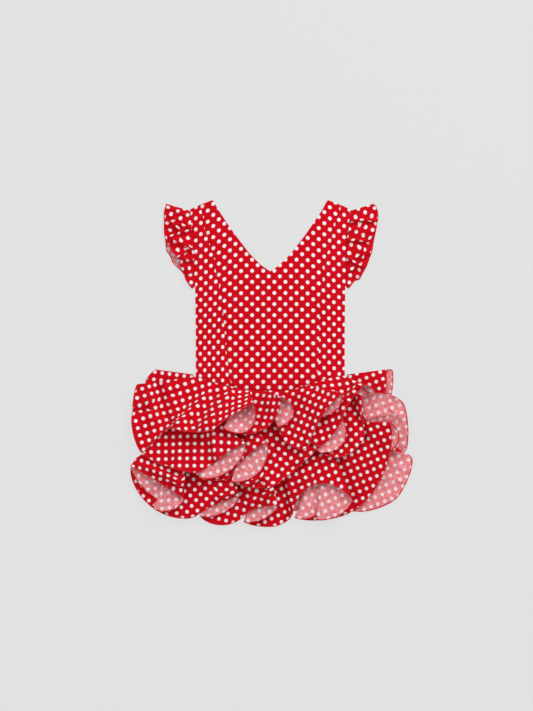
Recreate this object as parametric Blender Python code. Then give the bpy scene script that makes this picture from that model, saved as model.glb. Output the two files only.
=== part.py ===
"""A child's flamenco dress laid flat on its back: bodice, two shoulder frills, skirt of three gathered tiers.

Every piece is a wall of cloth around a middle surface that this script works out in millimetres.
The waist centre is x = 0, y = 0, the neck is towards +Y and the table is z = 0.
"""

import bpy
import numpy as np

MM = 0.001

# Cloth
WALL = 1.0
SEAM_GAP = 0.6
END_GAP = 0.4  # between edges that meet end to end
LAID_GAP = 0.35  # between a piece and the one sewn on it
SEAM_BULK = 0.05  # share of a ruffle's rise that its gathers already have at the seam
FOLD_ROUND = 5  # mm over which a fold of the hem is rounded
BOW_FULLNESS = 0.75  # under 1, a stretch of hem between two folds is fuller than a parabola
FOLD_OPENING = 6.0  # between the two layers of a fold, at the hem
PLEAT_OPENING = 2.9  # and at the seam
COLUMN_STEP = 15.0
FRILL_STEP = 9.0
TIER_ROWS = 6
FLAT_ROWS = 5
HEM_SAMPLES = 40  # between two folds, before the hem is rounded and thinned out
GRAVITY_SAG = 0.75  # exponent of a ruffle's rise from its seam to its hem: less than 1 rises early

# Bodice
SIDE_HEIGHT = 3.8
FRONT_PUFF = 5.4
FRONT_HALF_WIDTH = 131.0
BACK_HEIGHT = 0.6
BACK_NECK_DROP = 9.0
BACK_NECK_EASE = 4.0
WAIST_HALF = 130.0
NECK_POINTS = 9
CENTRE_POINTS = 8
SEAM_SAMPLES = 60
CENTRE_COLUMNS = 4
SIDE_COLUMNS = 5
BACK_COLUMNS = 5

# Plain skirt pieces under the tiers, which carry them
BASE_TOP_HALF = 126.0
BASE_FRONT_FOOT_HALF = 186.0
BASE_BACK_FOOT_HALF = 180.0
BASE_COLUMNS = 13
BASE_LENGTH_SIDE = -111.0
BASE_DIP = 10.5
BASE_RISE = 0.8  # of the front piece over the bodice at the waist
BASE_FRONT_FOOT = 10.2
BASE_BACK_TOP = 1.9
BASE_BACK_FOOT = 6.6

# Each row is y, x of the outer edge of the right half: shoulder point, armhole, side seam
SIDE_EDGE = [(292, 139.5), (264, 138), (242, 134), (212, 133), (184, 133), (158, 131), (80, 130), (0, 130)]
# y, x of the neck edge from the shoulder to the point of the V, then the centre line
NECK_EDGE = [(308, 100), (291, 91), (264, 73), (248, 62), (214, 36), (194, 16), (183, 0)]
# y, x of the two princess seams
SEAM_LEFT = [(300, -122), (276, -117), (258, -114), (227, -104), (207, -98), (185, -95), (165, -90),
             (142, -85), (100, -81), (56, -78), (3, -71), (-18, -67)]
SEAM_RIGHT = [(299, 124), (284, 119), (258, 111), (227, 104), (210, 97), (185, 93), (157, 90), (140, 86),
              (82, 85), (30, 84), (-8, 82)]
# x, y of the waist seam of the front
WAIST = [(-130, -1), (-97, -11), (-53, -21), (-22, -25), (34, -25), (60, -16), (95, -5), (130, 1)]
WAIST_BACK = [(-130, -1), (-60, -6), (0, -8), (60, -6), (130, 1)]

# Seams of the tiers: share along the seam, x, y, z
TIER_2_SEAM = [(0, -163, -61, 10.9), (0.3, -90, -67, 11), (0.55, 0, -72, 11), (0.8, 95, -62, 11),
               (0.92, 136, -47, 9.8), (1, 143, -28, 8)]
TIER_3_SEAM = [(0, -184, -109, 11.6), (0.25, -93, -116.6, 11.6), (0.5, 0, -119.5, 11.6),
               (0.75, 93, -116.6, 11.6), (0.93, 168, -110, 11.6), (1, 153, -79, 10.6)]
BACK_1_SEAM = [(0, 136, -9, 4.6), (0.05, 136, 3, 4.6), (0.07, 136, 3, 2), (0.12, 132, -2, 0.8),
               (0.25, 60, -6.6, 0.6), (0.5, 0, -8.6, 0.6), (0.75, -60, -6.6, 0.6), (0.88, -132, -2.4, 0.8),
               (0.93, -136, 3, 2), (0.95, -136, 3, 4.6), (1, -136, -9, 4.6)]
BACK_2_SEAM = [(0, 161, -38, 4.4), (0.10, 162, -54, 4), (0.15, 153, -62, 2.8), (0.5, 0, -66, 2.8),
               (1, -155, -60, 2.8)]
BACK_3_SEAM = [(0, 178, -109, 5.2), (0.25, 92, -116.6, 5.2), (0.5, 0, -119.5, 5.2), (0.75, -92, -116.6, 5.2),
               (1, -178, -109, 5.2)]

# Hems, a row for each fold: share along the seam, x, y, z, how far the hem bows to the left of its travel
TIER_1_FRONT = [
    (0.000, -232, -14, 22, 0),  # left lobe, upper corner
    (0.028, -239, -55, 27, -2),  # crease across the lobe
    (0.034, -240, -65, 18, 0),
    (0.060, -223, -134, 24, -7),  # left lobe, lower corner
    (0.120, -181, -92, 28, 0),  # foot of the left fan's side
    (0.150, -171, -88, 45, 0),  # left fan, side
    (0.195, -134, -96, 44, -2),  # crease
    (0.203, -125, -96, 57, 0),
    (0.230, -99, -93, 57, 0),  # left fan, lowest
    (0.360, -30, -47, 66, 3),  # left fan, tip
    (0.335, -82, -89, 46, 32),  # its underside
    (0.370, -60, -96, 44, -2),  # flute, lower turn
    (0.470, 17, -35, 52, -27),  # flute, tip
    (0.455, 13, -88, 38, 26),  # its underside
    (0.540, 22, -107, 34, 0),  # middle fan, lower turn
    (0.600, 65, -125, 50, -7),  # middle fan, lowest
    (0.740, 125, -29, 63, 9),  # middle fan, tip
    (0.722, 90, -69, 47, 11),  # its underside
    (0.710, 60, -101, 40, 0),  # tucked under the middle fan
    (0.728, 84, -122, 41, -3),  # right fan, lowest
    (0.830, 127, -62, 50, -8),  # right fan, side
    (0.880, 137, -46, 48, 0),  # crease
    (0.890, 141, -40, 40, 0),
    (0.940, 150, -30, 44, 0),  # crease
    (0.950, 153, -26, 37, 0),
    (1.000, 158, -17, 39, -1),  # side fan, tip
    (0.992, 184, -35, 22, 9),  # its underside, to the side seam
]
TIER_2_FRONT = [
    (0.000, -211, -110, 14, 0),  # side seam
    (0.030, -224, -133, 18, 0),  # side corner
    (0.065, -176, -157, 26, -4),  # crease
    (0.072, -167, -160, 34, 0),
    (0.110, -127, -168, 35, -1),  # left fan, lowest
    (0.150, -99, -152, 34, 0),  # crease
    (0.158, -92, -146, 43, 0),
    (0.240, -43, -116, 47, 3),  # left fan, tip
    (0.215, -124, -176, 29, 22),  # its underside
    (0.260, -72, -179, 28, -3),  # second fan, lowest
    (0.430, -7, -114, 44, 7),  # second fan, tip
    (0.405, -67, -183, 27, 25),  # its underside
    (0.500, -3, -194, 33, -4),  # third fan, lowest
    (0.560, 34, -170, 34, -2),
    (0.720, 125, -74, 39, -4),  # third fan, tip
    (0.665, 84, -131, 33, 26),  # its underside
    (0.800, 127, -139, 27, -5),  # right fan, lowest
    (0.940, 165, -104, 27, -5),  # right fan, side
    (1.000, 160, -33, 32, 3),  # right fan, tip, to the side seam
]
TIER_3_FRONT = [
    (0.000, -236, -144, 13, 0),  # side seam
    (0.014, -246, -156, 13, 2),  # side corner
    (0.110, -151, -212, 28, 2),  # left fan, tip
    (0.095, -204, -229, 18, 14),  # its underside, lowest
    (0.092, -196, -214, 11, 0),  # crease in the underside
    (0.070, -243, -160, 7, 7),  # its underside, side
    (0.150, -130, -244, 14, -33),  # second fan, lowest
    (0.270, -53, -208, 22, 4),  # second fan, tip
    (0.245, -123, -243, 9, 14),  # its underside
    (0.340, -48, -244, 14, -16),  # third fan, lowest
    (0.470, 13, -226, 26, 7),  # third fan, tip
    (0.445, -46, -254, 8, 10),  # its underside
    (0.505, 14, -260, 8, -5),  # valley
    (0.535, 33, -250, 4, -1),
    (0.548, 39, -240, 19, 0),  # fourth fan, lowest
    (0.770, 143, -216, 29, 42),  # fourth fan, tip
    (0.752, 80, -249, 18, 12),  # its underside, lowest
    (0.750, 82, -240, 9, 0),  # crease in the underside
    (0.735, 43, -246, 6, 6),  # its underside
    (0.830, 143, -235, 7, -10),  # right fan, lowest
    (1.000, 207, -80, 32, -25),  # right fan, tip
    (0.975, 207, -131, 20, 17),  # its underside
    (0.990, 237, -135, 13, 2),  # side seam
]
TIER_1_BACK = [
    (0.00, 199, -35, 9, 0),  # right lobe, lower corner
    (0.05, 202, 12, 10, -2),  # right lobe, upper corner
    (0.07, 213, 12, 6, 0),  # its underside, upper corner
    (0.12, 211, -33, 3, 2),  # its underside, lower corner
    (0.20, 130, -84, 0.6, 4),
    (0.28, 96, -90, 1.1, 0),
    (0.36, 60, -94, 0.6, 0),
    (0.44, 28, -95, 1.1, 0),
    (0.52, -8, -96, 0.6, 0),
    (0.60, -44, -95, 1.1, 0),
    (0.70, -90, -91, 0.6, 0),
    (0.80, -132, -84, 1.1, 0),
    (0.88, -193, -49, 0.8, 3),
    (0.93, -198, 10, 2.2, 0),  # left lobe, under
    (0.95, -198, 12, 9, 0),  # left lobe, upper corner
    (1.00, -218, -14, 9, -4),  # left lobe, lower corner
]
TIER_2_BACK = [
    (0.00, 167, -31, 16, 0),  # its right end shows beside the front: upper corner
    (0.055, 232, -47, 9, 9),  # round of its upper edge
    (0.10, 237, -130, 3.5, 6),  # lower corner
    (0.17, 170, -160, 0.6, 3),
    (0.26, 120, -168, 1.7, 0),
    (0.35, 70, -175, 0.6, 0),
    (0.45, 24, -178, 1.7, 0),
    (0.54, -18, -178, 0.6, 0),
    (0.64, -64, -177, 1.7, 0),
    (0.74, -104, -173, 0.6, 0),
    (0.84, -150, -165, 1.7, 0),
    (0.93, -190, -150, 0.6, 0),
    (1.00, -215, -124, 1.5, 2),
]
TIER_3_BACK = [
    (0.00, 240, -136, 6, 0),  # side seam
    (0.03, 248, -150, 5, 3),  # right side
    (0.10, 220, -213, 3, 5),  # right side, lower
    (0.20, 153, -236, 2, 6),  # right, lowest
    (0.29, 110, -234, 0.6, 0),
    (0.38, 66, -232, 2.4, 0),
    (0.47, 18, -238, 0.6, 0),
    (0.56, -30, -240, 2.4, 0),
    (0.65, -76, -236, 0.6, 0),
    (0.74, -116, -236, 2.4, 0),
    (0.83, -156, -230, 0.6, 0),
    (0.90, -196, -220, 2.2, 4),
    (0.97, -232, -189, 0.6, 4),
    (1.00, -236, -158, 1.5, 2),
]

# Shoulder frills: share along the armhole seam, x, y, z. The front half runs up, the back half down
FRILL_SEAM = [(0, 131.5, 158, 4.6), (0.12, 133.5, 184, 4.8), (0.22, 133.5, 212, 5), (0.32, 134.6, 242, 5),
              (0.42, 138.6, 264, 4.6), (0.485, 140.1, 289, 4), (0.515, 140.1, 289, 0.6),
              (0.58, 138.6, 264, 0.6), (0.68, 134.6, 242, 0.6), (0.78, 133.5, 212, 0.6),
              (0.88, 133.5, 184, 0.6), (1, 131.5, 158, 0.6)]
FRILL_LEFT = [
    (0.00, -136, 153, 4.6, 0),
    (0.03, -146, 165, 8, -2),
    (0.07, -152, 182, 4.4, 0),
    (0.11, -157, 191, 11, 0),
    (0.15, -157, 203, 5, 0),
    (0.19, -167, 213, 12, 0),
    (0.23, -176, 227, 5.4, 0),
    (0.29, -184, 243, 13, 0),
    (0.34, -185, 255, 5.6, 0),
    (0.39, -185, 265, 12, 0),
    (0.42, -185, 272, 5.6, 0),
    (0.46, -185, 288, 9, 0),
    (0.49, -181, 302, 5, 0),
    (0.51, -181, 302, 2.6, 0),
    (0.56, -185, 286, 1.6, 0),
    (0.62, -185, 266, 0.8, 0),
    (0.70, -183, 240, 1.8, 0),
    (0.78, -181, 218, 0.8, 0),
    (0.85, -171, 199, 1.8, 2),
    (0.92, -158, 186, 0.8, 0),
    (0.97, -146, 166, 1.6, 2),
    (1.00, -136, 153, 0.6, 0),
]
FRILL_RIGHT = [
    (0.00, 136, 153, 4.6, 0),
    (0.03, 144, 163, 8, 2),
    (0.06, 155, 168, 4.4, 2),
    (0.09, 160, 178, 11, 0),
    (0.12, 164, 185, 4.8, 0),
    (0.15, 167, 193, 11, 0),
    (0.19, 171, 203, 5.2, 0),
    (0.24, 177, 216, 13, 0),
    (0.29, 180, 236, 5.6, 0),
    (0.35, 184, 254, 14, 0),
    (0.40, 187, 270, 5.6, 0),
    (0.45, 187, 288, 11, 0),
    (0.49, 181, 301, 5, 2),
    (0.51, 181, 301, 2.6, 0),
    (0.56, 186, 286, 1.6, 0),
    (0.62, 186, 266, 0.8, 0),
    (0.70, 180, 240, 1.8, 0),
    (0.78, 176, 214, 0.8, 0),
    (0.85, 168, 192, 1.8, 0),
    (0.92, 160, 178, 0.8, 0),
    (0.97, 146, 165, 1.6, -2),
    (1.00, 136, 153, 0.6, 0),
]

RED = (0.70, 0.012, 0.030)
SHADES = {"front_centre": 1.0, "front_side": 0.97, "back_bodice": 0.9, "base_front": 0.85, "base_back": 0.8,
          "frill": 0.98, "tier_1": 1.0, "tier_2": 0.97, "tier_3": 0.94, "back_tier": 0.9}


def column(rows, at, key, value):
    """Straight-line reading of one column of a table against another."""
    rows = sorted(rows, key=lambda row: row[key])
    return np.interp(at, [row[key] for row in rows], [row[value] for row in rows])


def rounded(points, width):
    """Points along a line, softened by a running mean that keeps both ends."""
    size = 2 * width + 1
    weights = np.bartlett(size + 2)[1:-1]
    weights = weights / weights.sum()
    ends = np.vstack([2 * points[0] - points[width:0:-1], points, 2 * points[-1] - points[-2:-width - 2:-1]])
    return np.column_stack([np.convolve(ends[:, k], weights, "valid") for k in range(points.shape[1])])


def opened_folds(rows):
    """The hem table as share, x, y, z, bow, seam lift, with two rows at each fold, one for each layer.

    A row is a fold where the share turns back. While it runs back the cloth is the middle one of three
    layers, and the layer beyond each fold lies over or under it.
    """
    lowest = min(row[3] for row in rows)
    bulk = [SEAM_BULK * (row[3] - lowest) for row in rows]
    opened = [[*rows[0], bulk[0]]]
    for k in range(1, len(rows) - 1):
        before, row, after = rows[k - 1:k + 2]
        returns = after[0] < row[0], row[0] < before[0]
        if returns[0] == returns[1]:
            opened.append([*row, bulk[k] + PLEAT_OPENING * returns[0]])
            continue
        slopes = [(end[3] - row[3]) / np.hypot(end[1] - row[1], end[2] - row[2]) for end in (before, after)]
        first_is_upper = slopes[1] < slopes[0]
        for layer, upper in enumerate((first_is_upper, not first_is_upper)):
            middle = returns[0] if layer else returns[1]
            lift = PLEAT_OPENING * (1 if middle else 2 * upper)
            height = row[3] + (FOLD_OPENING / 2 if upper else -FOLD_OPENING / 2)
            opened.append([row[0], row[1], row[2], height, 0 if layer else row[4], bulk[k] + lift])
    last_returns = rows[-1][0] < rows[-2][0]
    return np.array(opened + [[*rows[-1], bulk[-1] + PLEAT_OPENING * last_returns]])


def hem_line(rows, step):
    """Points along a hem table, one on each fold and others about a step apart: share, x, y, z, seam lift."""
    table = opened_folds(rows)
    fine = []
    for first, last in zip(table[:-1], table[1:]):
        share = np.arange(HEM_SAMPLES)[:, None] / HEM_SAMPLES
        line = first + (last - first) * share
        along = last[1:3] - first[1:3]
        left = np.array([-along[1], along[0]]) / max(np.hypot(*along), 1e-6)
        line[:, 1:3] += left * last[4] * (4 * share * (1 - share)) ** BOW_FULLNESS
        fine.append(line)
    fine = np.delete(np.vstack(fine + [table[-1:]]), 4, axis=1)
    run = np.concatenate([[0], np.cumsum(np.linalg.norm(np.diff(fine[:, 1:4], axis=0), axis=1))])
    dense = np.arange(0, run[-1], 1.0)
    line = np.column_stack([np.interp(dense, run, fine[:, k]) for k in range(5)])
    line = rounded(line, FOLD_ROUND)
    folds = run[::HEM_SAMPLES]
    at = [0.0]
    for first, last in zip(folds[:-1], folds[1:]):
        count = max(1, round((last - first) / step))
        at.extend(first + (last - first) * np.arange(1, count + 1) / count)
    return np.column_stack([np.interp(at, dense, line[:, k]) for k in range(5)])


def ruffle_surface(seam, hem, rows, step, sag=GRAVITY_SAG):
    """Middle surface of a ruffle, a grid of columns by rows: straight rays from the seam to the hem."""
    edge = hem_line(hem, step)
    start = np.column_stack([column(seam, edge[:, 0], 0, k) for k in (1, 2, 3)])
    start[:, 2] += edge[:, 4]
    down = np.linspace(0, 1, rows)[None, :, None]
    surface = start[:, None, :] + (edge[:, None, 1:4] - start[:, None, :]) * down
    surface[:, :, 2] = start[:, None, 2] + (edge[:, None, 3] - start[:, None, 2]) * down[:, :, 0] ** sag
    return surface


def grid_faces(columns, rows, first=0):
    index = first + np.arange(columns * rows).reshape(columns, rows)
    corners = (index[:-1, :-1], index[1:, :-1], index[1:, 1:], index[:-1, 1:])
    return np.stack([corner.ravel() for corner in corners], axis=1)


def vertex_normals(points, faces):
    across = points[faces[:, 2]] - points[faces[:, 0]]
    other = points[faces[:, 3]] - points[faces[:, 1]]
    face = np.cross(across, other)
    total = np.zeros_like(points)
    for k in range(4):
        np.add.at(total, faces[:, k], face)
    return total / np.maximum(np.linalg.norm(total, axis=1, keepdims=True), 1e-9)


def wall(name, points, faces, shade, upright=False):
    """A closed wall of cloth around a middle surface. Upright walls are offset along z only."""
    normal = vertex_normals(points, faces)
    if upright:
        if normal[:, 2].sum() < 0:
            faces = faces[:, ::-1]
        normal = np.tile([0.0, 0.0, 1.0], (len(points), 1))
    outer = points + normal * WALL / 2
    inner = points - normal * WALL / 2
    outer[:, 2] = np.maximum(outer[:, 2], 0)
    inner[:, 2] = np.maximum(inner[:, 2], 0)
    count = len(points)
    sides = {}
    for face in faces:
        for k in range(4):
            sides[(face[k], face[(k + 1) % 4])] = True
    rim = [(b, a, a + count, b + count) for a, b in sides if (b, a) not in sides]
    verts = np.vstack([outer, inner]) * MM
    halves = np.vstack([faces[:, [0, 1, 2]], faces[:, [0, 2, 3]]])  # one diagonal for both sides of the cloth
    polygons = [*halves, *(halves[:, ::-1] + count), *rim]
    mesh = bpy.data.meshes.new(name)
    mesh.from_pydata([tuple(v) for v in verts], [], [tuple(int(i) for i in p) for p in polygons])
    mesh.update()
    mesh.polygons.foreach_set("use_smooth", [True] * len(mesh.polygons))
    material = bpy.data.materials.new(name + "_cloth")
    material.use_nodes = True
    shader = material.node_tree.nodes["Principled BSDF"]
    shader.inputs["Base Color"].default_value = (*[shade * part for part in RED], 1)
    shader.inputs["Roughness"].default_value = 0.85
    mesh.materials.append(material)
    piece = bpy.data.objects.new(name, mesh)
    bpy.context.scene.collection.objects.link(piece)
    return piece


def ruffle(name, seam, hem, rows, shade, sag=GRAVITY_SAG, flip=False, step=COLUMN_STEP):
    surface = ruffle_surface(seam, hem, rows, step, sag)
    faces = grid_faces(len(surface), rows)
    if not flip:
        faces = faces[:, ::-1]
    return wall(name, surface.reshape(-1, 3), faces, shade)


def front_height(x, y):
    """Height of the front bodice over the table at any y: puffed in the middle, low at the side seams."""
    return SIDE_HEIGHT + FRONT_PUFF * (1 - np.abs(np.clip(x / FRONT_HALF_WIDTH, -1, 1)) ** 3)


def back_height(x, y):
    """Height of the back bodice, which lies flat on the table."""
    return np.full(len(x), BACK_HEIGHT)


def edge_points(rows, count, side=1):
    """Even points along a table of y, x."""
    table = np.array([(side * x, y) for y, x in rows], float)
    run = np.concatenate([[0], np.cumsum(np.linalg.norm(np.diff(table, axis=0), axis=1))])
    at = np.linspace(0, run[-1], count)
    return np.column_stack([np.interp(at, run, table[:, k]) for k in (0, 1)])


def between(one, other, count):
    """Grid of straight rows between two edges with as many points."""
    share = np.linspace(0, 1, count)[:, None, None]
    return one[None] + (other - one)[None] * share


def side_panel(name, side, seam, shade):
    """The panel between a princess seam and the side: its top is the outer part of the shoulder."""
    inner = seam.copy()
    inner[:, 0] += side * SEAM_GAP
    outer = edge_points(SIDE_EDGE, len(inner), side)
    sheet = between(outer, inner, SIDE_COLUMNS)
    sheet[:, -1, 1] = np.interp(sheet[:, -1, 0], [p[0] for p in WAIST], [p[1] for p in WAIST])
    flat = sheet.reshape(-1, 2)
    points = np.column_stack([flat, front_height(flat[:, 0], flat[:, 1])])
    return wall(name, points, grid_faces(SIDE_COLUMNS, len(inner)), shade, upright=True)


def princess_seam(rows, side):
    """A princess seam as points that face those of the neck edge and the centre line."""
    facing = neck_and_centre(side, NECK_EDGE, WAIST, NECK_POINTS, CENTRE_POINTS)
    return matched(edge_points(rows, SEAM_SAMPLES), facing)


def neck_and_centre(side, neck, waist, count_neck, count_centre):
    """The neck edge down to the point of the V, then the centre line down to the waist."""
    upper = edge_points(neck, count_neck, side)
    lowest = np.interp(0, [p[0] for p in waist], [p[1] for p in waist])
    lower = np.column_stack([np.zeros(count_centre), np.linspace(upper[-1, 1], lowest, count_centre + 1)[1:]])
    return np.vstack([upper, lower])


def matched(edge, inner):
    """The outer edge resampled so that each of its points faces one of the inner edge at about its height."""
    run = np.concatenate([[0], np.cumsum(np.linalg.norm(np.diff(edge, axis=0), axis=1))])
    height = (inner[:, 1] - inner[0, 1]) / (inner[-1, 1] - inner[0, 1])
    return np.column_stack([np.interp(height * run[-1], run, edge[:, k]) for k in (0, 1)])


def mirrored_panel(name, left_edge, right_edge, neck, waist, height, shade, across):
    """A panel with a V neck: two halves that share the centre line below the V."""
    count = NECK_POINTS + CENTRE_POINTS
    halves = []
    for side, edge in ((-1, left_edge), (1, right_edge)):
        inner = neck_and_centre(side, neck, waist, NECK_POINTS, CENTRE_POINTS)
        outer = matched(edge_points(edge, SEAM_SAMPLES), inner)
        sheet = between(outer, inner, across)
        sheet[:, -1, 1] = np.interp(sheet[:, -1, 0], [p[0] for p in waist], [p[1] for p in waist])
        halves.append(sheet)
    first = halves[0].reshape(-1, 2)
    second = halves[1].reshape(-1, 2)
    faces = np.vstack([grid_faces(across, count), grid_faces(across, count, across * count)[:, ::-1]])
    shared = np.arange(NECK_POINTS - 1, count)
    swap = np.arange(2 * across * count)
    swap[(2 * across - 1) * count + shared] = (across - 1) * count + shared
    faces = swap[faces]
    flat = np.vstack([first, second])
    used = np.unique(faces)
    renumber = np.zeros(len(flat), int)
    renumber[used] = np.arange(len(used))
    flat = flat[used]
    points = np.column_stack([flat, height(flat[:, 0], flat[:, 1])])
    return wall(name, points, renumber[faces], shade, upright=True)


def skirt_base(name, waist, foot_half, top_z, foot_z, shade):
    """A plain flared piece under the tiers, from the waist seam to the third tier's seam."""
    share = np.linspace(-1, 1, BASE_COLUMNS)
    top_x = share * BASE_TOP_HALF
    top_y = np.interp(top_x, [p[0] for p in waist], [p[1] for p in waist]) - 3 * END_GAP
    top = np.column_stack([top_x, top_y, top_z(top_x)])
    foot_x = share * foot_half
    foot_y = BASE_LENGTH_SIDE - BASE_DIP * (1 - share ** 2)
    foot = np.column_stack([foot_x, foot_y, np.full(BASE_COLUMNS, foot_z)])
    down = np.linspace(0, 1, FLAT_ROWS)[None, :, None]
    surface = top[:, None] + (foot - top)[:, None] * down
    faces = grid_faces(BASE_COLUMNS, FLAT_ROWS)
    return wall(name, surface.reshape(-1, 3), faces, shade, upright=True)


def base_top(x):
    """Height of the front skirt piece at the waist seam."""
    return front_height(x, 0) + BASE_RISE


def base_back_top(x):
    """Height of the back skirt piece at the waist seam."""
    return np.full(len(x), BASE_BACK_TOP)


def tier_1_seam():
    """The waist line as a seam table, laid on the front skirt piece: share, x, y, z."""
    return [((x / WAIST_HALF + 1) / 2, x, y - END_GAP, base_top(x) + WALL + LAID_GAP) for x, y in WAIST]


def centre_on_table():
    """Moves the dress so that the centre of its outline is at x = 0, y = 0."""
    pieces = [thing for thing in bpy.data.objects if thing.type == "MESH"]
    corners = np.array([vertex.co[:] for piece in pieces for vertex in piece.data.vertices])
    middle = (corners.max(axis=0) + corners.min(axis=0)) / 2
    for piece in pieces:
        for vertex in piece.data.vertices:
            vertex.co.x -= middle[0]
            vertex.co.y -= middle[1]
        piece.data.update()


def main():
    for old in list(bpy.data.objects):
        bpy.data.objects.remove(old)
    back_neck = [(y - BACK_NECK_DROP, x + BACK_NECK_EASE if x else x) for y, x in NECK_EDGE]
    left_side = [(y, -x) for y, x in SIDE_EDGE]
    mirrored_panel("back_bodice", left_side, SIDE_EDGE, back_neck, WAIST_BACK, back_height,
                   SHADES["back_bodice"], BACK_COLUMNS)
    left_seam = princess_seam(SEAM_LEFT, -1)
    right_seam = princess_seam(SEAM_RIGHT, 1)
    mirrored_panel("front_centre", SEAM_LEFT, SEAM_RIGHT, NECK_EDGE, WAIST, front_height,
                   SHADES["front_centre"], CENTRE_COLUMNS)
    side_panel("front_side_left", -1, left_seam, SHADES["front_side"])
    side_panel("front_side_right", 1, right_seam, SHADES["front_side"])
    skirt_base("skirt_base_front", WAIST, BASE_FRONT_FOOT_HALF, base_top, BASE_FRONT_FOOT,
               SHADES["base_front"])
    skirt_base("skirt_base_back", WAIST_BACK, BASE_BACK_FOOT_HALF, base_back_top, BASE_BACK_FOOT,
               SHADES["base_back"])
    seam_left = [(share, -x, y, z) for share, x, y, z in FRILL_SEAM]
    ruffle("frill_left", seam_left, FRILL_LEFT, FLAT_ROWS, SHADES["frill"], flip=True, step=FRILL_STEP)
    ruffle("frill_right", FRILL_SEAM, FRILL_RIGHT, FLAT_ROWS, SHADES["frill"], step=FRILL_STEP)
    ruffle("tier_1_front", tier_1_seam(), TIER_1_FRONT, TIER_ROWS, SHADES["tier_1"])
    ruffle("tier_2_front", TIER_2_SEAM, TIER_2_FRONT, TIER_ROWS, SHADES["tier_2"])
    ruffle("tier_3_front", TIER_3_SEAM, TIER_3_FRONT, TIER_ROWS, SHADES["tier_3"])
    for number, seam, hem in ((1, BACK_1_SEAM, TIER_1_BACK), (2, BACK_2_SEAM, TIER_2_BACK),
                              (3, BACK_3_SEAM, TIER_3_BACK)):
        ruffle(f"tier_{number}_back", seam, hem, FLAT_ROWS, SHADES["back_tier"], sag=1.0)
    centre_on_table()


main()
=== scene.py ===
import math

import bpy
import numpy as np
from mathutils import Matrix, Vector


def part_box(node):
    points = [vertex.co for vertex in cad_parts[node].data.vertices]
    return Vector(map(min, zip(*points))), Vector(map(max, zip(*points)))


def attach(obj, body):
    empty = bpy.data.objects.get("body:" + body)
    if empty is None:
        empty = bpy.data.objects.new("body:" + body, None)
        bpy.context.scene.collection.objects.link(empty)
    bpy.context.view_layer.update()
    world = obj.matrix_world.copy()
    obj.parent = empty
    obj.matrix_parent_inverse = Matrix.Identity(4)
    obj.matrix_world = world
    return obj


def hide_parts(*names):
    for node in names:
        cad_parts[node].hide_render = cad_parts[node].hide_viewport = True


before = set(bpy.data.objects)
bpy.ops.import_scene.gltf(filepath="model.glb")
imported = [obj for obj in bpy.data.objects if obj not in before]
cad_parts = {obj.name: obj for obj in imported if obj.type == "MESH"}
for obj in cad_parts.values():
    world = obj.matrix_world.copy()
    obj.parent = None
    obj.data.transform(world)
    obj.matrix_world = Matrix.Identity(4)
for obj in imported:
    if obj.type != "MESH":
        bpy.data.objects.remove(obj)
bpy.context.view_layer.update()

mm = 0.001

# Shapes are in millimetres on the table's plan: the waist centre is 0, 0 and the neck is towards +y.
# The dress in the frame is centred on its outline, so the plan is shifted to lie on it.
backLow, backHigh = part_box("back_bodice")
shoulderTop = 299.0  # y of the back's shoulder point on the plan
planShift = np.array([(backLow.x + backHigh.x) / 2 / mm, backHigh.y / mm - shoulderTop, 0.0])
print("plan shift", planShift.round(2))

cloth = {
    "thickness": 0.8,
    "lowest": 0.02,  # nearest that the cloth is to the table
    "rimShare": 0.8,  # how far the rounded edge stands out, in half thicknesses
    "seamBulk": 0.05,  # share of a ruffle's rise that it has at the seam
    "foldRound": 5.0,  # length over which a fold of the hem is softened
    "bowFullness": 0.75,  # under 1, a stretch of hem between two folds is fuller than a parabola
    "bowSteps": 40,  # points on a stretch of hem between two folds
    "foldOpening": 6.0,  # between the two layers of a fold, at the hem
    "pleatOpening": 2.9,  # and at the seam
    "sag": 0.75,  # under 1, a ruffle rises early on its way from the seam to the hem
    "calm": 14.0,  # length beside a fold over which the soft waves grow
    "hemWave": 0.35,  # what is left of a soft wave at the hem
    "floor": 0.5,  # lowest that the middle of a ruffle lies
    "dense": 1.0,  # spacing of the points that the hem is first worked out on
}


class Sock:  # wraps an output socket, or a number, so that shader maths reads as an expression
    def __init__(self, nodes, value):
        self.nodes = nodes
        self.value = value

    def mathNode(self, operation, *others):
        made = self.nodes.add("ShaderNodeMath", {"operation": operation}, [self, *others])
        return Sock(self.nodes, made.outputs[0])

    def __add__(self, other):
        return self.mathNode("ADD", other)

    def __sub__(self, other):
        return self.mathNode("SUBTRACT", other)

    def __rsub__(self, other):
        return Sock(self.nodes, other).mathNode("SUBTRACT", self)

    def __mul__(self, other):
        return self.mathNode("MULTIPLY", other)

    def __truediv__(self, other):
        return self.mathNode("DIVIDE", other)

    __radd__ = __add__
    __rmul__ = __mul__


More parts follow.
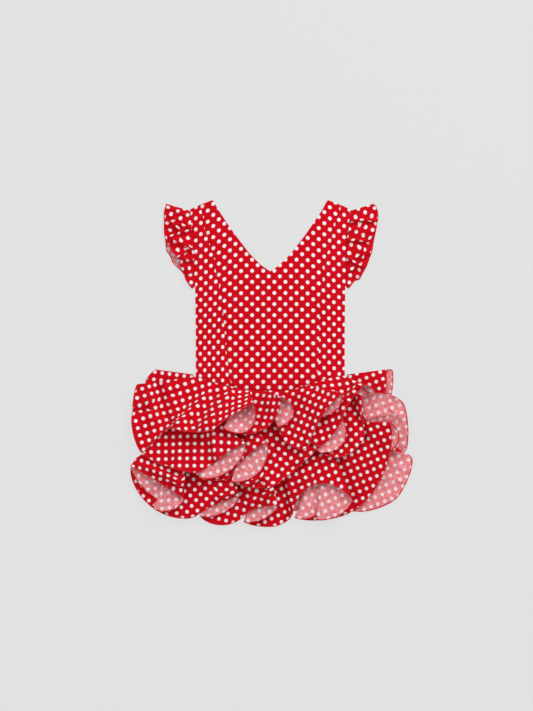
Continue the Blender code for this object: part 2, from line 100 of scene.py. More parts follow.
class Cloth:  # a material's node tree, with one method that adds any node
    def __init__(self, name, roughness, sheen=0.0, specular=0.1):
        self.material = bpy.data.materials.new(name)
        self.material.use_nodes = True
        self.tree = self.material.node_tree
        self.shader = self.tree.nodes["Principled BSDF"]
        self.shader.inputs["Roughness"].default_value = roughness
        self.shader.inputs["Sheen Weight"].default_value = sheen
        self.shader.inputs["Specular IOR Level"].default_value = specular

    def plug(self, socket, value):
        value = value.value if isinstance(value, Sock) else value
        if isinstance(value, bpy.types.NodeSocket):
            self.tree.links.new(value, socket)
        else:
            socket.default_value = value

    def add(self, kind, settings, values=()):
        node = self.tree.nodes.new(kind)
        for key, value in settings.items():
            setattr(node, key, value)
        pairs = values.items() if isinstance(values, dict) else enumerate(values)
        for key, value in pairs:
            self.plug(node.inputs[key], value)
        return node

    def get(self, kind, settings, values=()):
        return Sock(self, self.add(kind, settings, values).outputs[0])

    def mix(self, factor, one, other):
        node = self.add("ShaderNodeMix", {"data_type": "RGBA"}, {0: factor, 6: one, 7: other})
        return Sock(self, node.outputs[2])

    def smooth(self, value, low, high):  # 0 below low, 1 above high, eased between
        settings = {"interpolation_type": "SMOOTHSTEP"}
        return self.get("ShaderNodeMapRange", settings, [value, low, high, 0.0, 1.0])

    def noise(self, at, scale, detail=2.0, rough=0.5):
        values = {"Vector": at, "Scale": scale, "Detail": detail, "Roughness": rough}
        return self.get("ShaderNodeTexNoise", {}, values)

    def split(self, vector):
        node = self.add("ShaderNodeSeparateXYZ", {}, [vector])
        return [Sock(self, output) for output in node.outputs]

    def finish(self, colour, height, strength):
        self.plug(self.shader.inputs["Base Color"], colour)
        values = {"Strength": strength, "Distance": printed["bumpDepth"], "Height": height}
        self.plug(self.shader.inputs["Normal"], self.get("ShaderNodeBump", {}, values))
        return self.material


def flatCloth(paint):  # position on the flat cut in metres, from the piece's own UV map
    return paint.get("ShaderNodeUVMap", {"uv_map": "flatCut"})


printed = {  # noise scales are per metre
    "ruffleScale": 1.06,  # the print of the ruffles is a little smaller than the bodice's
    "dotPitch": 19.4 * mm,  # along a row; the next row is half a pitch down and half a pitch across
    "dotRadius": 3.25 * mm,
    "dotEdge": 0.45 * mm,
    "thread": 0.42 * mm,  # from one thread of the weave to the next
    "hemThread": 0.9 * mm,  # from one turn of the thread round a rolled hem to the next
    "hemLean": 0.35,  # how far those turns lean
    "bumpDepth": 0.4 * mm,
    "fuzz": 1500.0,
    "fleck": 380.0,
    "drift": 14.0,
    "streakLong": 110.0, "streakFine": 620.0,  # along and across a streak of the wrong side
    "blotch": 40.0,
    "plainDrift": 20.0,
    "hemDrift": 60.0,
    "red": (0.76, 0.002, 0.013, 1),
    "redDark": (0.52, 0.0005, 0.006, 1),
    "white": (0.93, 0.91, 0.95, 1),
    "pink": (0.74, 0.11, 0.135, 1),
    "pinkPale": (1.0, 0.44, 0.46, 1),
    "pinkDot": (1.0, 0.90, 0.96, 1),
    "hem": (0.80, 0.006, 0.018, 1),
    "hemDark": (0.60, 0.002, 0.010, 1),
    "base": (0.55, 0.006, 0.016, 1),
    "baseDark": (0.4125, 0.0045, 0.012, 1),
}


def dotMask(paint, at, radius, edge):
    # rows of dots set half a pitch apart are a square lattice turned by 45 degrees:
    # across = (u + v) / pitch, down = (u - v) / pitch, a dot sits in the middle of each whole cell
    u, v, _ = paint.split(at)
    across = (u + v) / printed["dotPitch"]
    down = (u - v) / printed["dotPitch"]
    offsetA = across.mathNode("FRACT") - 0.5
    offsetB = down.mathNode("FRACT") - 0.5
    cell = printed["dotPitch"] / math.sqrt(2)
    distance = (offsetA * offsetA + offsetB * offsetB).mathNode("SQRT") * cell
    return 1 - paint.smooth(distance, radius - edge, radius + edge)


def weave(paint, at):  # two crossed sets of threads: the product of two sines, 0 to 1
    u, v, _ = paint.split(at)
    turns = 2 * math.pi / printed["thread"]
    warp = (u * turns).mathNode("SINE")
    weft = (v * turns).mathNode("SINE")
    return warp * weft * 0.5 + 0.5


def rightSide(name):
    paint = Cloth(name, roughness=0.85, sheen=0.02, specular=0.08)
    at = flatCloth(paint)
    threads = weave(paint, at)
    fuzz = paint.noise(at, printed["fuzz"], 1.0)
    drift = paint.noise(at, printed["drift"])
    fleck = paint.smooth(paint.noise(at, printed["fleck"], 3.0, 0.65), 0.35, 0.65)
    red = paint.mix(drift * 0.35 + fleck * 0.45 + threads * 0.2, printed["redDark"], printed["red"])
    ink = dotMask(paint, at, printed["dotRadius"], printed["dotEdge"]) * (0.93 + 0.07 * fuzz)
    colour = paint.mix(ink, red, printed["white"])
    return paint.finish(colour, threads * 0.6 + fuzz * 0.3 + ink * 0.25, 0.35)


def wrongSide(name):  # the print seen through from behind: streaky along the threads, with soft dots
    paint = Cloth(name, roughness=0.9, sheen=0.02, specular=0.08)
    at = flatCloth(paint)
    threads = weave(paint, at)
    u, v, _ = paint.split(at)
    fine, long = printed["streakFine"], printed["streakLong"]
    warp = paint.noise(paint.get("ShaderNodeCombineXYZ", {}, [u * fine, v * long, 0.0]), 1.0, 2.0, 0.6)
    weft = paint.noise(paint.get("ShaderNodeCombineXYZ", {}, [u * long, v * fine, 4.0]), 1.0, 2.0, 0.6)
    streaks = paint.smooth(warp + weft, 0.78, 1.22)
    blotch = paint.noise(at, printed["blotch"], 3.0, 0.6)
    pink = paint.mix(streaks * 0.75 + blotch * 0.5 - 0.15, printed["pink"], printed["pinkPale"])
    ink = dotMask(paint, at, printed["dotRadius"] * 1.02, printed["dotEdge"] * 1.6)
    colour = paint.mix(ink * (0.7 + 0.3 * streaks), pink, printed["pinkDot"])
    return paint.finish(colour, threads * 0.7 + streaks * 0.5, 0.4)


def plainRed(name):  # for the skirt pieces under the tiers
    paint = Cloth(name, roughness=0.85, sheen=0.1, specular=0.2)
    at = flatCloth(paint)
    threads = weave(paint, at)
    drift = paint.noise(at, printed["plainDrift"])
    colour = paint.mix(drift * 0.5 + threads * 0.3, printed["baseDark"], printed["base"])
    return paint.finish(colour, threads, 0.35)


def rolledHem(name):  # the print rolled over its edge under close red thread, so that its dots show faintly
    paint = Cloth(name, roughness=0.75, sheen=0.08, specular=0.25)
    at = flatCloth(paint)
    u, v, _ = paint.split(at)
    lean = (u + v * printed["hemLean"]) * (2 * math.pi / printed["hemThread"])
    turns = lean.mathNode("SINE") * 0.5 + 0.5
    drift = paint.noise(at, printed["hemDrift"])
    red = paint.mix(turns * 0.5 + drift * 0.4, printed["hemDark"], printed["hem"])
    ink = dotMask(paint, at, printed["dotRadius"], printed["dotEdge"] * 2)
    return paint.finish(paint.mix(ink * 0.3, red, printed["white"]), turns, 0.5)


dotted = rightSide("dotted_cotton_right_side")
wrong = wrongSide("dotted_cotton_wrong_side")
plain = plainRed("plain_red_cotton")
rolled = rolledHem("rolled_hem")
print("materials ready")


def unit(vectors):
    return vectors / np.maximum(np.linalg.norm(vectors, axis=-1, keepdims=True), 1e-9)


def joined(*parts):
    return np.stack(parts, axis=-1)


def placed(name, data):
    thing = bpy.data.objects.new(name, data)
    bpy.context.scene.collection.objects.link(thing)
    return thing


def gridNormals(points):  # normal = d point / d column x d point / d row
    return unit(np.cross(np.gradient(points, axis=0), np.gradient(points, axis=1)))


def aboveTable(points):
    points[..., 2] = np.maximum(points[..., 2], cloth["lowest"])
    return points


def gridQuads(index):
    return joined(index[:-1, :-1], index[1:, :-1], index[1:, 1:], index[:-1, 1:]).reshape(-1, 4)


def meshPiece(name, points, quads, flat, materials, slots):
    mesh = bpy.data.meshes.new(name)
    mesh.vertices.add(len(points))
    mesh.vertices.foreach_set("co", ((points + planShift) * mm).astype(np.float32).ravel())
    mesh.loops.add(quads.size)
    mesh.loops.foreach_set("vertex_index", quads.astype(np.int32).ravel())
    mesh.polygons.add(len(quads))
    mesh.polygons.foreach_set("loop_start", np.arange(0, quads.size, 4, dtype=np.int32))
    mesh.polygons.foreach_set("material_index", slots.astype(np.int32))
    mesh.polygons.foreach_set("use_smooth", np.ones(len(quads), bool))
    mesh.update(calc_edges=True)
    layer = mesh.uv_layers.new(name="flatCut")
    layer.data.foreach_set("uv", (flat[quads.ravel()] * mm).astype(np.float32).ravel())
    for material in materials:
        mesh.materials.append(material)
    piece = placed(name + "_cloth", mesh)
    piece["cadNode"] = name
    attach(piece, "root")
    return piece


def cutArea(flat):  # half the cross product of the two diagonals of each quad of the flat cut
    one = flat[1:, 1:] - flat[:-1, :-1]
    other = flat[:-1, 1:] - flat[1:, :-1]
    return float(np.abs(one[..., 0] * other[..., 1] - one[..., 1] * other[..., 0]).sum() / 2)


def declared(flat):  # works out the area that the sheet was cut to, in square metres, and does not pass it on
    cutArea(flat) * mm ** 2


def clothShell(name, middle, flat, face, back, turn):
    # right side = middle + normal * t / 2, wrong side = middle - normal * t / 2, and a third line a little
    # beyond the edge rounds the border; turn is -1 where the grid's normal points to the wrong side
    half = cloth["thickness"] / 2
    normal = gridNormals(middle) * turn
    outer = aboveTable(middle + normal * half)
    inner = aboveTable(middle - normal * half)
    beyond = np.zeros_like(middle)
    beyond[0] += unit(middle[0] - middle[1])
    beyond[-1] += unit(middle[-1] - middle[-2])
    beyond[:, 0] += unit(middle[:, 0] - middle[:, 1])
    beyond[:, -1] += unit(middle[:, -1] - middle[:, -2])
    rim = aboveTable(middle + unit(beyond) * half * cloth["rimShare"])
    count = middle[..., 0].size
    index = np.arange(count).reshape(middle.shape[:2])
    loop = np.concatenate([index[:-1, 0], index[-1, :-1], index[:0:-1, -1], index[0, :0:-1]])
    after = np.roll(loop, -1)
    ring = 2 * count + np.arange(len(loop))
    ringAfter = np.roll(ring, -1)
    quads = gridQuads(index)
    outerRim = joined(after, loop, ring, ringAfter)
    innerRim = joined(ringAfter, ring, loop + count, after + count)
    everyQuad = np.vstack([quads, quads[:, ::-1] + count, outerRim, innerRim])
    if turn < 0:
        everyQuad = everyQuad[:, ::-1]
    slots = np.concatenate([np.zeros(len(quads)), np.ones(len(quads)), np.zeros(2 * len(loop))])
    points = np.vstack([outer.reshape(-1, 3), inner.reshape(-1, 3), rim.reshape(-1, 3)[loop]])
    plan = flat.reshape(-1, 2)
    return meshPiece(name, points, everyQuad, np.vstack([plan, plan, plan[loop]]), [face, back], slots)


hemRoll = {
    "across": 1.1,  # half width
    "thick": 0.9,  # half thickness
    "around": 10,  # points round it
    "tips": (0.05, 0.75),  # share of its size at an end and beside it
}


def hemTube(name, line, out, normal, edge, material):
    # a closed tube along the hem: centre + out * across * cos(angle) + normal * thick * sin(angle), with both
    # ends drawn in to a point; edge is the outermost two lines of the flat cut
    around = hemRoll["around"]
    angle = np.linspace(0, 2 * np.pi, around, endpoint=False)
    draw = np.ones(len(line))
    draw[[0, -1]], draw[[1, -2]] = hemRoll["tips"]
    wide = (hemRoll["across"] * np.cos(angle))[None, :, None]
    high = (hemRoll["thick"] * np.sin(angle))[None, :, None]
    ring = (out[:, None] * wide + normal[:, None] * high) * draw[:, None, None]
    points = aboveTable(line[:, None] + ring)
    inward = (hemRoll["across"] * np.abs(angle - np.pi))[None, :, None]
    flat = edge[:, :1] - unit(edge[:, 0] - edge[:, 1])[:, None] * inward
    index = np.arange(len(line) * around).reshape(-1, around)
    after = np.roll(index, -1, axis=1)
    quads = joined(index[:-1], index[1:], after[1:], after[:-1]).reshape(-1, 4)
    k = np.arange(1, around - 2, 2)  # a cap is a fan of quads from its first point
    start, end = index[0], index[-1]
    capStart = joined(start[0 * k], start[k], start[k + 1], start[k + 2])
    capEnd = joined(end[0 * k], end[k + 2], end[k + 1], end[k])
    everyQuad = np.vstack([quads, capStart, capEnd])
    points = points.reshape(-1, 3)
    half = len(quads) // 2  # a quad half way along tells which way the faces look
    a, b, c = points[quads[half][:3]]
    if np.dot(np.cross(b - a, c - b), a - line[half // around]) < 0:
        everyQuad = everyQuad[:, ::-1]
    return meshPiece(name, points, everyQuad, flat.reshape(-1, 2), [material], np.zeros(len(everyQuad)))


def column(rows, at, key, value):  # straight-line reading of one column of a table against another
    rows = sorted(rows, key=lambda row: row[key])
    return np.interp(at, [row[key] for row in rows], [row[value] for row in rows])


def rounded(points, width):  # running mean with a triangular weight, which keeps both ends
    weights = np.bartlett(2 * width + 3)[1:-1]
    weights = weights / weights.sum()
    before = 2 * points[0] - points[width:0:-1]
    after = 2 * points[-1] - points[-2:-width - 2:-1]
    padded = np.vstack([before, points, after])
    return np.column_stack([np.convolve(line, weights, "valid") for line in padded.T])


def openedFolds(rows):
    # the hem table as share, x, y, z, bow, seam lift, with two rows at each fold, one for each of its layers.
    # A row is a fold where the share turns back. While it runs back the cloth is the middle one of three.
    lowest = min(row[3] for row in rows)
    bulk = [cloth["seamBulk"] * (row[3] - lowest) for row in rows]
    opened = [[*rows[0], bulk[0]]]
    for k in range(1, len(rows) - 1):
        before, row, after = rows[k - 1:k + 2]
        returns = after[0] < row[0], row[0] < before[0]
        if returns[0] == returns[1]:
            opened.append([*row, bulk[k] + cloth["pleatOpening"] * returns[0]])
            continue
        slopes = [(end[3] - row[3]) / np.hypot(end[1] - row[1], end[2] - row[2])
                  for end in (before, after)]
        firstIsUpper = slopes[1] < slopes[0]
        for layer, upper in enumerate((firstIsUpper, not firstIsUpper)):
            middle = returns[0] if layer else returns[1]
            lift = cloth["pleatOpening"] * (1 if middle else 2 * upper)
            height = row[3] + (cloth["foldOpening"] / 2 if upper else -cloth["foldOpening"] / 2)
            opened.append([row[0], row[1], row[2], height, 0 if layer else row[4], bulk[k] + lift])
    lastReturns = rows[-1][0] < rows[-2][0]
    return np.array(opened + [[*rows[-1], bulk[-1] + cloth["pleatOpening"] * lastReturns]])


def hemLine(rows, step):
    # between two rows the hem is a straight line plus a bow to its left, bow * (4 * t * (1 - t)) ** fullness;
    # the folds are then softened, and points are set about a step apart with one on each fold
    table = openedFolds(rows)
    steps = cloth["bowSteps"]
    fine = []
    for first, last in zip(table[:-1], table[1:]):
        t = np.arange(steps)[:, None] / steps
        line = first + (last - first) * t
        along = last[1:3] - first[1:3]
        left = np.array([-along[1], along[0]]) / max(np.hypot(*along), 1e-6)
        line[:, 1:3] += left * last[4] * (4 * t * (1 - t)) ** cloth["bowFullness"]
        fine.append(line)
    fine = np.delete(np.vstack(fine + [table[-1:]]), 4, axis=1)
    run = np.concatenate([[0], np.cumsum(np.linalg.norm(np.diff(fine[:, 1:4], axis=0), axis=1))])
    dense = np.arange(0, run[-1], cloth["dense"])
    line = np.column_stack([np.interp(dense, run, fine[:, k]) for k in range(5)])
    line = rounded(line, round(cloth["foldRound"] / cloth["dense"]))
    folds = run[::steps]
    at = [np.zeros(1)]
    for first, last in zip(folds[:-1], folds[1:]):
        count = max(1, round((last - first) / step))
        at.append(first + (last - first) * np.arange(1, count + 1) / count)
    at = np.concatenate(at)
    return np.column_stack([at] + [np.interp(at, dense, line[:, k]) for k in range(5)]), folds


def flatPlan(start, end, depth):
    # the ruffle laid flat again, ray by ray: each strip turns the ray by (hem step - seam step) / ray length,
    # where a step counts only what lies square to the ray
    ray = unit(end - start)
    length = np.linalg.norm(end - start, axis=1)
    seamStep = np.diff(start, axis=0)
    hemStep = np.diff(end, axis=0)
    between = unit(ray[:-1] + ray[1:])
    seamAlong = (seamStep * between).sum(axis=1)
    hemAlong = (hemStep * between).sum(axis=1)
    seamAcross = np.sqrt(np.maximum((seamStep ** 2).sum(axis=1) - seamAlong ** 2, 0))
    hemAcross = np.sqrt(np.maximum((hemStep ** 2).sum(axis=1) - hemAlong ** 2, 0))
    turn = (hemAcross - seamAcross) / (length[:-1] + length[1:]) * 2
    angle = np.concatenate([[0], np.cumsum(turn)])
    middleAngle = (angle[:-1] + angle[1:]) / 2
    down = joined(np.sin(middleAngle), -np.cos(middleAngle))
    side = joined(np.cos(middleAngle), np.sin(middleAngle))
    seam = np.vstack([[0, 0], np.cumsum(side * seamAcross[:, None] + down * seamAlong[:, None], axis=0)])
    rays = joined(np.sin(angle), -np.cos(angle))
    return seam[:, None] + rays[:, None] * (depth * length[:, None])[..., None]


waved = {
    "drift": 1.2,  # how far a wave drifts, in radians
    "driftLength": 3.7,  # period of that drift / (2 * pi), in lengths of the wave
    "fade": 0.45,  # how much its height comes and goes
    "fadeLength": 2.3,
    "turn": 6.3,  # a sine starts at random within it
}


def softWaves(run, seed, waves):
    # a sum of uneven sines along the hem: size * fade * sin(2 * pi * run / length + drift)
    random = np.random.RandomState(seed)
    total = np.zeros_like(run)
    for length, size in waves:
        driftStart, fadeStart, start = random.uniform(0, waved["turn"], 3)
        drift = waved["drift"] * np.sin(run / (length * waved["driftLength"]) + driftStart)
        swell = np.sin(run / (length * waved["fadeLength"]) + fadeStart)
        fade = 1 - waved["fade"] * (1 - swell)
        total += size * fade * np.sin(2 * np.pi * run / length + drift + start)
    return total


crumpled = {
    "bend": 0.03,  # how far a crease bows, as a share of its length
    "fade": 16.0,  # length over which its ends run out
    "reach": 24.0,  # to either side, how far the print is drawn together at a crease
    "lifts": (11.0, 26.0),  # heights at which creases begin and are whole
    "leastRoom": 0.01,
    "creases": [  # x, y of one end, x, y of the other, half width and height; a trough's height is under 0
        (-203, -6, -182, -78, 6, -16),  # between the left lobe and fan, and the crests beside it
        (-222, -10, -204, -84, 8, 8), (-186, -4, -162, -80, 7.5, 13),
        (-240, -60, -192, -61, 3, -8),  # across the left lobe
        (-64, -19, -118, -92, 6.5, 10),  # down the left fan
        (-92, -18, -142, -88, 6.5, -10),
        (-101, -98, -97, -140, 5, 7),  # across the second tier's left fan
        (-232, -152, -152, -188, 6, 18),  # over the third tier's left leaf
        (-136, -170, -158, -216, 4.5, -8),
        (-14, -172, -97, -215, 5.5, 14),  # across the third tier's second and third fans
        (14, -190, -44, -226, 5.5, 13),
        (127, -46, 160, -11, 3.5, 7),  # narrow folds at the right of the waist
        (118, -42, 150, -8, 3, -6),
        (161, -31, 165, -108, 3.5, -8),  # down the right fan
        (60, -150, 118, -137, 5, 8),  # where the big right fan comes out
        (32, -166, 62, -150, 4.5, -8),
        (-28, -172, -38, -214, 3.2, 8),  # puckers down the third tier's middle
        (-16, -176, -20, -220, 3, -7), (-4, -180, -4, -224, 3.2, 8),
        (62, -170, 40, -214, 3.4, 8), (78, -168, 64, -206, 3.2, -7),
    ],
}


def crumple(x, y, z, made):
    # how far a point is moved up by the creases: each is a trough or ridge along a line on the plan,
    # height * exp(-(distance / width) squared), that fades over its ends. Under the low lift the cloth stays:
    # a trough of depth d leaves room * exp(-d / room) of the room over it, and a ridge grows up to the high one
    total = np.zeros_like(x)
    low, high = made.get("lifts", crumpled["lifts"])
    for x0, y0, x1, y1, width, height in made.get("creases", crumpled["creases"]):
        length = math.hypot(x1 - x0, y1 - y0)
        along = ((x - x0) * (x1 - x0) + (y - y0) * (y1 - y0)) / length
        across = ((y - y0) * (x1 - x0) - (x - x0) * (y1 - y0)) / length
        bend = crumpled["bend"] * length * np.sin(np.pi * along / length)
        ends = np.clip(np.minimum(along, length - along) / made.get("fade", crumpled["fade"]) + 0.5, 0, 1)
        total += height * np.exp(-((across - bend) / width) ** 2) * ends ** 2 * (3 - 2 * ends)
    room = np.maximum(z - low, crumpled["leastRoom"])
    sunk = np.where(z > low, room * (np.exp(np.minimum(total, 0) / room) - 1), 0)
    return sunk + np.maximum(total, 0) * np.clip((z - low) / (high - low), 0, 1)


def longer(before, after, axis, reach):
    # what the creases add to the lengths along one axis of the grid, less its own running mean or, down the
    # rays, less its share of the whole, so that it stays near the crease
    new, old = (np.linalg.norm(np.diff(points, axis=axis), axis=-1) for points in (after, before))
    extra = np.insert(np.cumsum(new - old, axis=axis), 0, 0, axis=axis)
    if axis:
        return extra - np.linspace(0, 1, extra.shape[1]) * extra[:, -1:]
    return extra - rounded(extra, reach)


def stretched(before, after, flat, reach):
    # the flat cut with that length added, so that the print narrows where the cloth runs steeply up or down
    ray = unit(flat[:, -1:] - flat[:, :1])
    side = joined(-ray[..., 1], ray[..., 0])
    across = longer(before, after, 0, reach)[..., None]
    return flat + side * across + ray * longer(before, after, 1, reach)[..., None]


def ruffle(name, made):
    # straight rays from the seam to the hem, height eased by depth ** sag; then soft waves along the normal,
    # wave * (2 * depth ** 1.2 * (1 - depth) + hemWave * depth), calm beside a fold; then the creases
    line, folds = hemLine(made["hem"], made["step"])
    run, share, hem, lift = line[:, 0], line[:, 1], line[:, 2:5], line[:, 5]
    start = np.column_stack([column(made["seam"], share, 0, k) for k in (1, 2, 3)])
    start[:, 2] += lift
    depth = np.linspace(0, 1, made["rows"])[None, :]
    smooth = start[:, None] + (hem - start)[:, None] * depth[..., None]
    rise = (hem - start)[:, 2:]
    smooth[..., 2] = start[:, 2:] + rise * depth ** made.get("sag", cloth["sag"])
    cut = flatPlan(start, hem, depth)
    turn = made.get("turn", -1)
    wave = softWaves(run, made["seed"], made["waves"])
    wave *= np.clip(np.abs(run[:, None] - folds[None]).min(axis=1) / cloth["calm"], 0, 1) ** 1.5
    profile = 2 * depth ** 1.2 * (1 - depth) + made.get("hemWave", cloth["hemWave"]) * depth
    middle = smooth + gridNormals(smooth) * turn * (wave[:, None] * profile)[..., None]
    middle[..., 2] += crumple(middle[..., 0], middle[..., 1], middle[..., 2], made)
    flat = stretched(smooth, middle, cut, round(crumpled["reach"] / made["step"]))
    angle = math.radians(made.get("printTurn", 0))
    turned = np.array([[math.cos(angle), math.sin(angle)], [-math.sin(angle), math.cos(angle)]])
    flat = flat @ turned * printed["ruffleScale"]
    middle[..., 2] = np.maximum(middle[..., 2], cloth["floor"])
    piece = clothShell(name, middle, flat, dotted, wrong, turn)
    normal = gridNormals(middle) * turn
    out = unit(middle[:, -1] - middle[:, -2])
    hemPiece = hemTube(name + "_hem", middle[:, -1], out, normal[:, -1], flat[:, :-3:-1], rolled)
    declared(cut)
    return piece, hemPiece


bodice = {
    "sideHeight": 3.8,  # of the front at the side seams
    "puff": 5.4,  # how much higher it is at the centre
    "halfWidth": 131.0,
    "backHeight": 0.6,
    "backNeckDrop": 9.0,  # the back's neck is lower and wider
    "backNeckEase": 4.0,
    "seamGap": 0.6,
    "seamDip": 1.1,  # how far the panels sink at the princess seams
    "seamWidth": 3.0,
    # y, x of the outer edge: shoulder point, armhole, side seam
    "side": [(292, 139.5), (264, 138), (242, 134), (212, 133), (184, 133), (158, 131), (80, 130), (0, 130)],
    # y, x of the neck edge from the shoulder to the point of the V
    "neck": [(308, 100), (291, 91), (264, 73), (248, 62), (214, 36), (194, 16), (183, 0)],
    # y, x of the princess seams
    "leftSeam": [
        (300, -122), (276, -117), (258, -114), (227, -104), (207, -98), (185, -95), (165, -90),
        (142, -85), (100, -81), (56, -78), (3, -71), (-18, -67),
    ],
    "rightSeam": [
        (299, 124), (284, 119), (258, 111), (227, 104), (210, 97), (185, 93), (157, 90), (140, 86),
        (82, 85), (30, 84), (-8, 82),
    ],
    # x, y of the waist seam, front and back
    "waist": [(-130, -1), (-97, -11), (-53, -21), (-22, -25), (34, -25), (60, -16), (95, -5), (130, 1)],
    "backWaist": [(-130, -1), (-60, -6), (0, -8), (60, -6), (130, 1)],
}
leftSeam = bodice["leftSeam"]
rightSeam = bodice["rightSeam"]


def frontHeight(x):  # puffed in the middle, low at the side seams: 1 - (x / half width) cubed
    out = np.abs(np.clip(x / bodice["halfWidth"], -1, 1))
    return bodice["sideHeight"] + bodice["puff"] * (1 - out ** 3)


def alongEdge(rows, at):  # points of a table of y, x at shares 0 to 1 of its drop in y
    height = rows[0][0] + (rows[-1][0] - rows[0][0]) * at
    return np.column_stack([column(rows, height, 0, 1), height])


def panel(left, right, top, foot, columns, rows):
    # rows straight across between the two side edges, x = mix(left x, right x, u), and y runs down each
    # column from the top edge to the foot in equal steps
    u = np.linspace(0, 1, columns)[:, None]
    v = np.linspace(0, 1, rows)
    one = alongEdge(left, v)
    other = alongEdge(right, v)
    x = one[None, :, 0] * (1 - u) + other[None, :, 0] * u
    topY = column(top, x[:, 0], 0, 1)[:, None]
    footY = column(foot, x[:, -1], 0, 1)[:, None]
    return x, topY + (footY - topY) * v[None]


pucker = {  # lengths are those of waves / (2 * pi)
    "ripple": 0.1, "length": 2.9,  # beside the seams, where cloth lies over its seam allowances
    "sway": 0.4, "swayLength": 17.0,  # of the ripples' places
    "reach": 1.5,  # over 1, the ripples stay whole for a little way beside a seam
    "slow": 0.35, "one": (23.0, 61.0), "other": (-95.0, 47.0), "start": 1.1,  # shallow waves all over
}


def nearSeam(x, y, seam):
    return np.exp(-((x - column(seam, y, 0, 1)) / bodice["seamWidth"]) ** 2)


def puckers(x, y):
    # ripple * sin(y / length + sway) near a seam, and slow * sin(x / a + y / b) * sin(x / c + y / d + start)
    seams = nearSeam(x, y, leftSeam) + nearSeam(x, y, rightSeam)
    sway = pucker["sway"] * np.sin(y / pucker["swayLength"])
    ripple = np.sin(y / pucker["length"] + sway) * np.minimum(seams * pucker["reach"], 1)
    (a, b), (c, d) = pucker["one"], pucker["other"]
    slow = np.sin(x / a + y / b) * np.sin(x / c + y / d + pucker["start"])
    return pucker["ripple"] * ripple + pucker["slow"] * slow - bodice["seamDip"] * seams


printLaid = {
    "from": 40.0, "over": 150.0,  # y from which the low stretch eases into the high one, and on what length
    "waistDrop": 0.35,  # share of a drop that is already there at the waist
}


def printPlace(x, y, made):
    # where a point lies in the print: the cloth is stretched about one x by a share that eases from the low
    # one at the waist to the high one at the shoulders, and moved across and up; its rows drop towards the
    # armhole by slope * d * d / (d + ease), where d is the distance from where the drop begins
    up = np.clip((y - printLaid["from"]) / printLaid["over"], 0, 1)
    up = up * up * (3 - 2 * up)
    low, high = made.get("stretch", (1, 1))
    about = made.get("about", 0)
    flatX = (x - about) * (low + (high - low) * up) + about + made.get("across", 0)
    drop = 0
    for start, side, slope, ease in made.get("drops", ()):
        away = np.maximum((x - start) * side, 0)
        drop = drop + slope * away * away / (away + ease)
    dropped = drop * (printLaid["waistDrop"] + (1 - printLaid["waistDrop"]) * up)
    return joined(flatX, y + made.get("up", 0) + dropped)


def bodicePanel(name, made, edges, height, face, back):
    x, y = panel(*edges, *made["points"])
    middle = joined(x, y, height(x, y))
    piece = clothShell(name, middle, printPlace(x, y, made), face, back, -1)
    declared(middle[..., :2])
    return piece


def panelHeight(x, y):
    return frontHeight(x) + puckers(x, y)


def frontPanel(name, made, left, right, top):
    edges = (left, right, top, bodice["waist"])
    return bodicePanel(name, made, edges, panelHeight, dotted, wrong)


def backHeight(x, y):
    return np.full_like(x, bodice["backHeight"])


def sideways(rows, shift=0.0, side=1):
    return [(y, side * x + shift) for y, x in rows]


def topLine(neck, left, right):  # x, y from one shoulder point down the V and up to the other
    down = [(-x, y) for y, x in neck]
    up = [(x, y) for y, x in neck[-2::-1]]
    return [left[0][::-1], *down, *up, right[0][::-1]]


def shoulderLine(seam, edge):  # x, y along the short top of a side panel
    return [seam[0][::-1], edge[0][::-1]]


# "points" are columns and rows; the rest is the print's: see printPlace
frontCentre = {
    "points": (96, 140),
    "across": -7.2, "drops": [(-43, -1, 0.25, 32), (50, 1, 0.16, 32)],
}
frontLeft = {
    "points": (48, 140),
    "stretch": (1.24, 1.10), "about": -130, "across": 4, "up": 7.0, "drops": [(-78, -1, 0.15, 1)],
}
frontRight = {
    "points": (48, 140),
    "stretch": (1.11, 1.06), "about": 130, "across": -3, "up": 4.5, "drops": [(85, 1, 0.1, 1)],
}
backWhole = {"points": (140, 120)}

leftEdge = sideways(bodice["side"], side=-1)
rightEdge = bodice["side"]
gap = bodice["seamGap"]
centre = frontPanel("front_centre", frontCentre, leftSeam, rightSeam,
                    topLine(bodice["neck"], leftSeam, rightSeam))
leftPanel = frontPanel("front_side_left", frontLeft, leftEdge, sideways(leftSeam, -gap),
                       shoulderLine(leftSeam, leftEdge))
rightPanel = frontPanel("front_side_right", frontRight, sideways(rightSeam, gap), rightEdge,
                        shoulderLine(rightSeam, rightEdge))
backNeck = [(y - bodice["backNeckDrop"], x + bodice["backNeckEase"] if x else x) for y, x in bodice["neck"]]
backEdges = (leftEdge, rightEdge, topLine(backNeck, leftEdge, rightEdge), bodice["backWaist"])
backPanel = bodicePanel("back_bodice", backWhole, backEdges, backHeight, wrong, dotted)
print("bodice ready")

skirtBase = {
    "rise": 0.8,  # of the front piece over the bodice at the waist
    "topHalf": 126.0, "frontFootHalf": 186.0, "backFootHalf": 180.0,  # half widths
    "footSide": -111.0, "footDip": 10.5,
    "frontFootHeight": 10.2, "backTopHeight": 1.9, "backFootHeight": 6.6,
    "topGap": 1.2,  # from the waist line to the piece's own top edge
    "endGap": 0.4, "laidGap": 0.35, "wall": 1.0,  # to the first tier, down from the waist and up
    "points": (60, 24),
}


def baseTop(x):  # height of the front skirt piece at the waist seam
    return frontHeight(x) + skirtBase["rise"]


def backTop(x):
    return np.full_like(x, skirtBase["backTopHeight"])


def tier1Seam():  # the waist line as a seam table, laid on the front skirt piece
    lift = skirtBase["wall"] + skirtBase["laidGap"]
    first, last = bodice["waist"][0][0], bodice["waist"][-1][0]
    return [((x - first) / (last - first), x, y - skirtBase["endGap"], baseTop(x) + lift)
            for x, y in bodice["waist"]]


